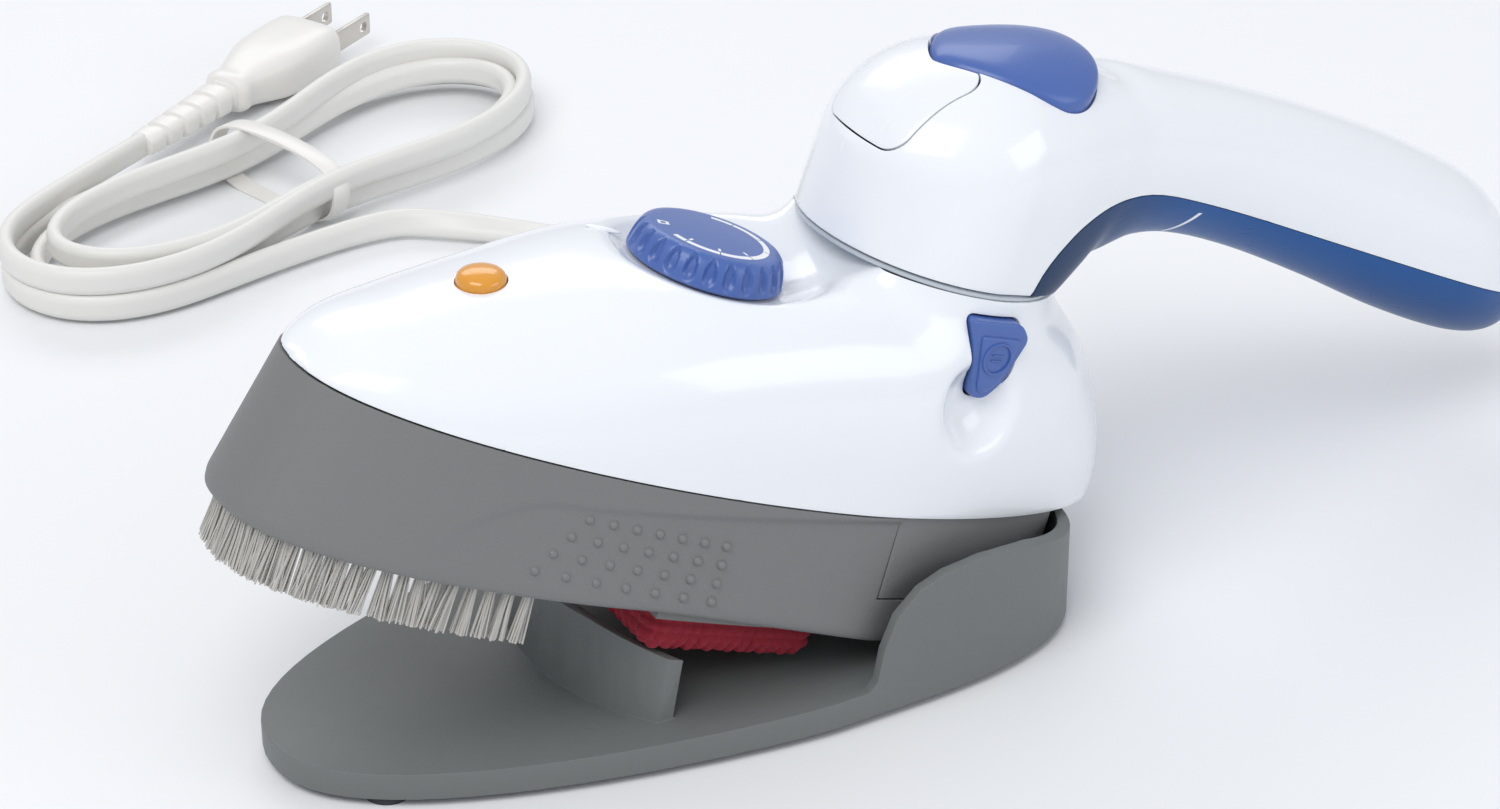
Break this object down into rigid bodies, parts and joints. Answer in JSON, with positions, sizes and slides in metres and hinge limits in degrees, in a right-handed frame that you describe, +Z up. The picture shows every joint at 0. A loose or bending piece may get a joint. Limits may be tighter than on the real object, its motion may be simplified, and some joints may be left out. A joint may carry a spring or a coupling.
{
  "type": "handheld garment steamer",
  "caption": "Handheld garment steamer nose-up on a flat stand, with a swivelling blue tank handle, dial, lamp, bristle skirt, lint pad and a tied mains cord.",
  "frame": {"origin": "centre of the steamer and stand's box in plan, on the floor under the stand's feet", "axes": "+Z up from the floor; nose towards -X, handle towards +X; the side with the lock button faces -Y"},
  "size_m": [0.318, 0.3538, 0.1227],
  "materials": {
    "shell_white": "gloss",
    "skirt_grey": "fine matte grain",
    "stand_grey": "fine matte grain",
    "inner_grey": "matte",
    "control_blue": "satin",
    "tank_blue": "gloss, slightly see-through",
    "lamp_amber": "gloss",
    "seam_silver": "satin",
    "metal_plate": "satin",
    "cast_metal": "cast",
    "screw_steel": "bright",
    "spring_steel": "bright",
    "blade_nickel": "nickel plate",
    "brass_parts": "dull",
    "ceramic_white": "matte",
    "glass_bulb": "clear",
    "rubber_dark": "matte",
    "bristle_nylon": "nylon fibre",
    "lint_fabric": "looped pile",
    "cord_vinyl": "smooth vinyl"
  },
  "bodies": {
    "base": {"stand": "stand_grey", "stand_feet": "rubber_dark", "cord_run": "cord_vinyl", "cord_hank": "cord_vinyl", "cord_tie": "cord_vinyl", "plug_body": "cord_vinyl", "plug_blades": "blade_nickel"},
    "head": {"base_frame": "skirt_grey", "sole_plate": "metal_plate", "steam_chamber": "cast_metal", "heater_element": "screw_steel", "thermal_fuse": "ceramic_white", "thermostat": "brass_parts", "terminal_block": "ceramic_white", "lamp_bulb": "glass_bulb", "upper_shell": "shell_white", "lamp_lens": "lamp_amber", "base_screws": "screw_steel", "swivel_ring": "seam_silver", "water_tube": "ceramic_white", "brush_frame": "skirt_grey", "grip_studs": "skirt_grey", "bristle_tufts": "bristle_nylon", "pad_holder": "inner_grey", "lint_pad": "lint_fabric", "cord_gland": "cord_vinyl", "lock_spring": "spring_steel"},
    "knob": {"dial": "control_blue", "dial_shaft": "ceramic_white"},
    "lock": {"lock_button": "control_blue"},
    "handle": {"handle_shell": "shell_white", "water_tank": "tank_blue", "tank_seal": "rubber_dark", "swivel_spigot": "inner_grey", "spigot_nut": "inner_grey", "spigot_screws": "screw_steel", "trigger_pin": "screw_steel", "trigger_spring": "spring_steel"},
    "trigger": {"steam_trigger": "control_blue"},
    "valve": {"valve_rod": "ceramic_white"},
    "lid": {"filler_lid": "shell_white", "filler_plug": "rubber_dark"}
  },
  "joints": [
    {"name": "lift_off", "type": "slide", "parent": "base", "child": "head", "axis": [0, 0, 1], "range_m": [0, 0.08]},
    {"name": "handle_swivel", "type": "hinge", "parent": "head", "child": "handle", "pos_m": [0.00167, 0, 0.08094], "axis": [0.3584, 0, 0.9336], "range_deg": [0, 180]},
    {"name": "dial_turn", "type": "hinge", "parent": "head", "child": "knob", "pos_m": [-0.05046, 0, 0.08938], "axis": [0.3584, 0, 0.9336], "range_deg": [0, 240]},
    {"name": "lock_press", "type": "slide", "parent": "head", "child": "lock", "axis": [0, 1, 0], "range_m": [0, 0.0015], "stiffness_N_per_m": 400, "springref_m": -0.002, "deforming": ["lock_spring"]},
    {"name": "trigger_press", "type": "hinge", "parent": "handle", "child": "trigger", "pos_m": [0.03436, 0, 0.10609], "axis": [0, -1, 0], "range_deg": [0, 6], "stiffness_Nm_per_rad": 0.4, "springref_deg": -5.73, "deforming": ["trigger_spring"]},
    {"name": "valve_lift", "type": "slide", "parent": "handle", "child": "valve", "axis": [-0.3584, 0, -0.9336], "range_m": [0, 0.0023]},
    {"name": "lid_hinge", "type": "hinge", "parent": "handle", "child": "lid", "pos_m": [-0.01605, 0, 0.11066], "axis": [0, -1, 0], "range_deg": [0, 100]}
  ],
  "couplings": [
    {"joint": "valve_lift", "follows": "trigger_press", "m_per_rad": 0.0215}
  ]
}
